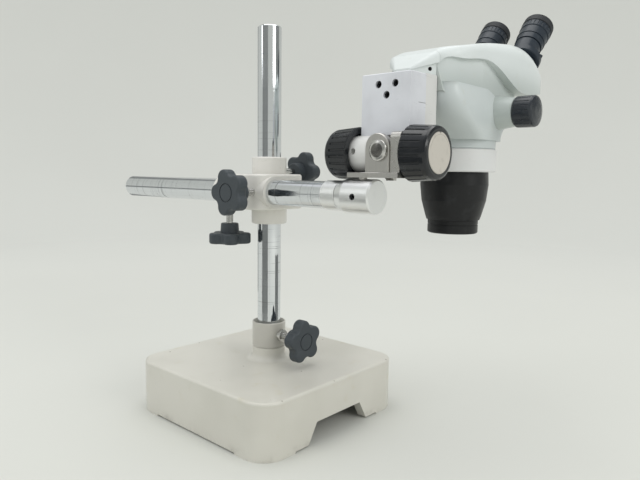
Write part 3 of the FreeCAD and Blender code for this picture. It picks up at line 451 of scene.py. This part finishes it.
steel = brushedMetal["steel"]
wear("bracket", brushedFinish("bracket steel", steel, brushedMetal["bracketGrain"], 0.32))
plainSteel = brushedFinish("plain steel", steel, brushedMetal["plainGrain"], 0.28)
for node in ("swivel_pin", "pinion_shaft", "zoom_shaft", "pinion_housing", "rack"):
    wear(node, plainSteel)
studGrain = brushedMetal["studGrain"]
studSteel = brushedFinish("stud steel", brushedMetal["stud"], studGrain, 0.16)
for knob in starKnobs:
    wear(knob + "_stud", studSteel)
cutBrass = brushedFinish("cut brass", brushedMetal["brass"], brushedMetal["brassGrain"], 0.3)
wear("zoom_barrels", cutBrass)

silverPaint = {
    "face": tint(216, 218, 222),
    "pale": tint(216, 216, 213),
    "line": tint(70, 70, 72),
    "lineHeight": 0.3577,  # the index line on the way block's side
    "lineHalf": 0.00022,  # half its thickness
    "lineSoft": 0.0001,
    "lineSpan": (-0.0070, 0.0058),  # along y
    "lineSide": (0.2100, 0.2105),  # only on the face beyond this x
    "scuffGrain": (60.0, 60.0, 800.0),
}


def silverFinish(name, colour, marked=False):
    finish = Finish(name, colour, 0.42, metallic=0.15)
    x, y, z = finish.axes()
    cloud = finish.noise(26.0, 4.0).rising(0.4, 0.72)
    mixed = finish.blend(cloud * 0.12, colour, silverPaint["line"])
    scuffPlace = finish.stretched(silverPaint["scuffGrain"])
    scuffs = finish.noise(1.0, 5.0, scuffPlace).rising(0.68, 0.74)
    mixed = finish.blend(scuffs * 0.25, mixed, silverPaint["line"])
    if marked:
        height, half = silverPaint["lineHeight"], silverPaint["lineHalf"]
        soft = silverPaint["lineSoft"]
        line = z.within(height - half, height + half, soft)
        line = line * y.within(*silverPaint["lineSpan"], soft)
        line = line * x.rising(*silverPaint["lineSide"])
        mixed = finish.blend(line * 0.8, mixed, silverPaint["line"])
    finish.set("Base Color", mixed)
    finish.set("Roughness", 0.38 + 0.12 * finish.noise(60.0, 3.0))
    finish.bump(finish.noise(2400.0, 2.0), 0.1, 0.0003)
    return finish


wear("focus_block", silverFinish("way silver", silverPaint["face"], marked=True))
paleSilver = silverFinish("pale silver", silverPaint["pale"])
for node in ("slide_plate", "pinion_barrel"):
    wear(node, paleSilver)
print("metals done")

# Black plastic, metal and rubber

blackParts = {
    "knob": tint(63, 69, 73),
    "knobWorn": tint(92, 97, 102),
    "focus": tint(21, 24, 28),
    "zoom": tint(36, 41, 47),
    "objective": tint(17, 18, 20),
    "eyepiece": tint(39, 47, 55),
    "rubber": tint(38, 41, 44),
    "dust": tint(84, 87, 89),
    "screw": tint(40, 40, 42),
    "screwWorn": tint(90, 88, 86),
}
dust = blackParts["dust"]


def mouldedFinish(name, colour, worn, rough, grain, depth, coat=0.0):
    finish = Finish(name, colour, rough, coat=coat)
    finish.set("Specular IOR Level", 0.35)
    rubbed = finish.noise(70.0, 5.0).rising(0.5, 0.78)
    fine = finish.noise(grain, 3.0)
    share = rubbed * 0.16 + fine.rising(0.62, 0.8) * 0.08
    finish.set("Base Color", finish.blend(share, colour, worn))
    finish.set("Roughness", rough - 0.06 + 0.16 * rubbed + 0.05 * fine)
    finish.bump(fine, 0.2, depth)
    return finish


knobWorn = blackParts["knobWorn"]
knobPlastic = mouldedFinish(
    "knob plastic", blackParts["knob"], knobWorn, rough=0.48, grain=900.0, depth=0.0005
)
glossPlastic = mouldedFinish(
    "gloss plastic", blackParts["focus"], dust, rough=0.24, grain=500.0, depth=0.0002, coat=0.3
)
zoomPlastic = mouldedFinish(
    "zoom plastic", blackParts["zoom"], dust, rough=0.3, grain=600.0, depth=0.0002, coat=0.2
)
satinBlack = mouldedFinish(
    "satin black", blackParts["objective"], dust, rough=0.38, grain=1400.0, depth=0.0002
)
eyeBlack = mouldedFinish(
    "eyepiece black", blackParts["eyepiece"], dust, rough=0.36, grain=1200.0, depth=0.0002
)
cupRubber = mouldedFinish(
    "cup rubber", blackParts["rubber"], dust, rough=0.62, grain=700.0, depth=0.0006
)
screwWorn = blackParts["screwWorn"]
screwBlack = mouldedFinish(
    "burnished screws", blackParts["screw"], screwWorn, rough=0.3, grain=800.0, depth=0.0002
)
screwBlack.set("Metallic", 0.7)
for knob in starKnobs:
    wear(knob + "_grip", knobPlastic)
for node in ("objective_cone", "objective_ring"):
    wear(node, satinBlack)
for side in ("near", "far"):
    wear("focus_knob_" + side, glossPlastic)
    wear("zoom_knob_" + side, zoomPlastic)
    for node in ("turret_", "ocular_", "thumb_screw_", "diopter_ring_"):
        wear(node + side, eyeBlack)
    wear("eyecup_" + side, cupRubber)
wear("column_cap", cupRubber)
for node in ("stop_ring_screw", "coupling_screws", "block_screws", "adaptor_screws"):
    wear(node, screwBlack)

discFace = {
    "colour": tint(188, 183, 173),
    # the dark of the marks, and of the painted shade in the groove
    "line": tint(120, 114, 104),
    "ring": 0.0166,  # radius of the fine groove near the rim, drawn as a line of painted shade
    "ringHalf": 0.0001,  # half its thickness
    "ringSoft": 0.00012,
    "grooveShadeHeights": (-0.002, 0.008),  # the painted shade fades in between these heights, from the disc's centre
}


def discFinish(face):
    finish = Finish("knob disc with painted groove shade", face["colour"], 0.34)
    centre = middle("focus_disc_near")
    radius = finish.fromAxis("yz", centre.y, centre.z)
    inner, outer = face["ring"] - face["ringHalf"], face["ring"] + face["ringHalf"]
    start, full = [centre.z + height for height in face["grooveShadeHeights"]]
    # painted shade in the groove, on its upper part only; the bump also dents it
    line = radius.within(inner, outer, face["ringSoft"]) * finish.axis("z").rising(start, full)
    marks = finish.noise(160.0, 4.0).rising(0.55, 0.75)
    colour = finish.blend(marks * 0.2, face["colour"], face["line"])
    finish.set("Base Color", finish.blend(line * 0.7, colour, face["line"]))
    finish.set("Roughness", 0.28 + 0.12 * marks)
    finish.bump(finish.noise(900.0, 2.0) - 2.0 * line, 0.06, 0.0002)
    return finish


knobDisc = discFinish(discFace)
for node in ("focus_disc_near", "focus_disc_far"):
    wear(node, knobDisc)

lensGlass = {
    "colour": tint(28, 34, 48),
    "blue": tint(22, 28, 46),
    "violet": tint(44, 36, 58),
}


def lensFinish(glass):
    finish = Finish("coated lens", glass["colour"], 0.04, coat=1.0)
    sheen = finish.noise(40.0, 1.0)
    finish.set("Base Color", finish.blend(sheen, glass["blue"], glass["violet"]))
    finish.set("Roughness", 0.03 + 0.03 * finish.noise(300.0, 3.0))
    return finish


coatedLens = lensFinish(lensGlass)
for node in ("objective_lens", "eye_lens_near", "eye_lens_far", "prism_near", "prism_far"):
    wear(node, coatedLens)
print("black parts and glass done")

# Threads on the studs, cut as one ridge wound round each stud

studThread = {
    "pitch": 0.00125,
    "ridge": 0.00042,
    "radius": 0.004,
    "steps": 20,  # to one turn
    "clear": 0.0003,  # room left at each end
}


def windThread(name, body, start, end, thread):
    bpy.ops.object.select_all(action="DESELECT")
    reach = Vector(end) - Vector(start)
    turns = max(1, int(reach.length / thread["pitch"]) - 1)
    bpy.ops.mesh.primitive_circle_add(
        vertices=3,
        radius=thread["ridge"],
        location=(thread["radius"], 0, 0),
        rotation=(math.pi / 2, 0, 0),
    )
    ridge = bpy.context.object
    ridge.name = name
    bpy.ops.object.transform_apply(location=True, rotation=True, scale=True)
    screw = ridge.modifiers.new("wind", "SCREW")
    screw.axis = "Z"
    screw.screw_offset = thread["pitch"]
    screw.iterations = turns
    screw.steps = thread["steps"]
    screw.render_steps = thread["steps"]
    bpy.ops.object.modifier_apply(modifier=screw.name)
    bpy.ops.object.mode_set(mode="EDIT")
    bpy.ops.mesh.select_all(action="SELECT")
    bpy.ops.mesh.remove_doubles(threshold=0.00001)
    bpy.ops.mesh.fill_holes(sides=4)
    bpy.ops.mesh.normals_make_consistent(inside=False)
    bpy.ops.object.mode_set(mode="OBJECT")
    ridge.rotation_mode = "QUATERNION"
    ridge.rotation_quaternion = reach.to_track_quat("Z", "Y")
    ridge.location = Vector(start) + reach.normalized() * thread["pitch"] * 0.5
    bpy.ops.object.transform_apply(location=True, rotation=True, scale=True)
    ridge.data.materials.append(studSteel.material)
    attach(ridge, body)


def threadBetween(knob, holder, axis, sign, thread):
    # The bare length of a stud runs from the face of what holds it to the grip's hub
    gripLow, gripHigh = [Vector(corner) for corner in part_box(knob + "_grip")]
    heldLow, heldHigh = [Vector(corner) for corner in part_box(holder)]
    centre = middle(knob + "_stud")
    start, end = centre.copy(), centre.copy()
    start[axis] = (heldHigh if sign > 0 else heldLow)[axis] + sign * thread["clear"]
    end[axis] = (gripLow if sign > 0 else gripHigh)[axis] - sign * thread["clear"]
    if (end[axis] - start[axis]) * sign > thread["pitch"] * 2:
        windThread(knob + "_thread", knob, start, end, thread)
        print("thread on", knob, round((end[axis] - start[axis]) * 1000, 1), "mm")


threadBetween("arm_knob", "cross_block", 1, -1, studThread)
threadBetween("lower_knob", "cross_block", 2, -1, studThread)
threadBetween("base_knob", "base_collar", 0, 1, studThread)

# The studio: a pale floor that curves up into a wall all round, soft lamps,
# and dark boards that only metal shows

studio = {
    "pale": tint(219, 220, 213),
    "shade": tint(190, 191, 184),  # painted shade on the paper round the base, where the light falls off
    "shadeEnd": (0.5, 1.9),  # the painted shade fades out between these distances
    "cloth": tint(72, 76, 86),
    "floorRadius": 1.9,
    "wallRadius": 3.2,
    "wallHeight": 3.4,
    "corners": 128,
    "coveSteps": 14,
    "world": 0.8,
    "air": (0.97, 0.985, 1.0, 1.0),
    "boards": [  # azimuth in degrees, then half width, low, high and distance in metres
        (4.0, 0.21, 0.0, 0.2, 0.36),
        (5.0, 0.36, 0.32, 1.6, 0.70),
        (129.0, 0.13, 0.0, 0.14, 0.36),
        (130.0, 0.26, 0.42, 1.6, 0.70),
        (222.0, 0.16, 0.0, 1.6, 0.70),
        (262.0, 0.10, 0.0, 1.6, 0.70),
        (318.0, 0.50, 0.20, 0.30, 0.95),
    ],
}


def studioFinish(name, colour, roughness):
    finish = Finish(name, colour, roughness)
    cloud = finish.noise(1.2, 3.0).rising(0.35, 0.7)
    # painted shade on the paper near the base, fading out with distance
    near = 1 - finish.fromAxis("xy", 0.0, 0.0).rising(*studio["shadeEnd"])
    share = cloud * 0.06 + near * 0.42
    finish.set("Base Color", finish.blend(share, colour, studio["shade"]))
    return finish


def addCircle(place, name, fill, finish):
    bpy.ops.object.select_all(action="DESELECT")
    bpy.ops.mesh.primitive_circle_add(
        vertices=place["corners"], radius=place["floorRadius"], fill_type=fill
    )
    circle = bpy.context.object
    circle.name = name
    circle.data.materials.append(finish.material)
    return circle


def raiseWall(wall, place):
    # The cove is a quarter circle, so each extrusion climbs more and widens less
    inner, steps = place["floorRadius"], place["coveSteps"]
    cove = place["wallRadius"] - inner
    bpy.ops.object.mode_set(mode="EDIT")
    bpy.ops.mesh.select_all(action="SELECT")
    for step in range(steps):
        before, after = [math.pi / 2 * edge / steps for edge in (step, step + 1)]
        wide = (inner + cove * math.sin(after)) / (inner + cove * math.sin(before))
        climb = cove * (math.cos(before) - math.cos(after))
        bpy.ops.mesh.extrude_edges_move(TRANSFORM_OT_translate={"value": (0, 0, climb)})
        bpy.ops.transform.resize(value=(wide, wide, 1), center_override=(0, 0, 0))
    rest = place["wallHeight"] - cove
    bpy.ops.mesh.extrude_edges_move(TRANSFORM_OT_translate={"value": (0, 0, rest)})
    bpy.ops.object.mode_set(mode="OBJECT")
    bpy.ops.object.shade_smooth()
    wall.visible_shadow = False
    wall.visible_diffuse = False


def hangBoard(azimuth, half, low, high, away, finish):
    angle = math.radians(azimuth)
    spot = (math.sin(angle) * away, -math.cos(angle) * away, (low + high) / 2)
    bpy.ops.object.select_all(action="DESELECT")
    bpy.ops.mesh.primitive_plane_add(size=1, location=spot, rotation=(math.pi / 2, 0, angle))
    board = bpy.context.object
    board.name = "studio_board_" + str(int(azimuth))
    board.scale = (half * 2, high - low, 1)
    board.data.materials.append(finish.material)
    board.visible_camera = False
    board.visible_diffuse = False
    board.visible_shadow = False


paper = studioFinish("backdrop paper with painted shade", studio["pale"], 0.9)
floor = addCircle(studio, "studio_floor", "NGON", paper)
wall = addCircle(studio, "studio_wall", "NOTHING", paper)
raiseWall(wall, studio)
cloth = studioFinish("board cloth", studio["cloth"], 1.0)
for boardPlace in studio["boards"]:
    hangBoard(*boardPlace, cloth)

lamps = {
    "ceiling": {
        "spot": (-0.1, 0.1, 2.1),
        "aim": (0, 0, 0.1),
        "size": 1.8,
        "power": 16.0,
        "colour": (1.0, 0.995, 0.975),
    },
    "window": {
        "spot": (-0.6, -1.7, 1.25),
        "aim": (0, 0, 0.2),
        "size": 1.1,
        "power": 5.5,
        "colour": (0.97, 0.985, 1.0),
    },
    "right": {
        "spot": (1.9, 0.1, 1.1),
        "aim": (0, 0, 0.2),
        "size": 0.9,
        "power": 9.0,
        "colour": (1.0, 0.99, 0.97),
    },
}


def hangLamp(name, lamp):
    bpy.ops.object.light_add(type="AREA", location=lamp["spot"])
    made = bpy.context.object
    made.name = name
    made.data.shape = "SQUARE"
    made.data.size = lamp["size"]
    made.data.energy = lamp["power"]
    made.data.color = lamp["colour"]
    view = Vector(lamp["aim"]) - Vector(lamp["spot"])
    made.rotation_euler = view.to_track_quat("-Z", "Y").to_euler()


for name, lamp in lamps.items():
    hangLamp(name, lamp)


def lightWorld(strength, air, pale):  # air lights the object, pale is what the camera sees
    world = bpy.data.worlds.new("room")
    bpy.context.scene.world = world
    world.use_nodes = True
    tree = world.node_tree
    room = tree.nodes["Background"]
    room.inputs["Color"].default_value = air
    room.inputs["Strength"].default_value = strength
    seen = tree.nodes.new("ShaderNodeBackground")
    seen.inputs["Color"].default_value = pale
    seen.inputs["Strength"].default_value = 1.0
    path = tree.nodes.new("ShaderNodeLightPath")
    mix = tree.nodes.new("ShaderNodeMixShader")
    tree.links.new(path.outputs["Is Camera Ray"], mix.inputs[0])
    tree.links.new(room.outputs[0], mix.inputs[1])
    tree.links.new(seen.outputs[0], mix.inputs[2])
    tree.links.new(mix.outputs[0], tree.nodes["World Output"].inputs["Surface"])


lightWorld(studio["world"], studio["air"], studio["pale"])
bpy.context.scene.view_settings.view_transform = "Standard"
print("studio done")
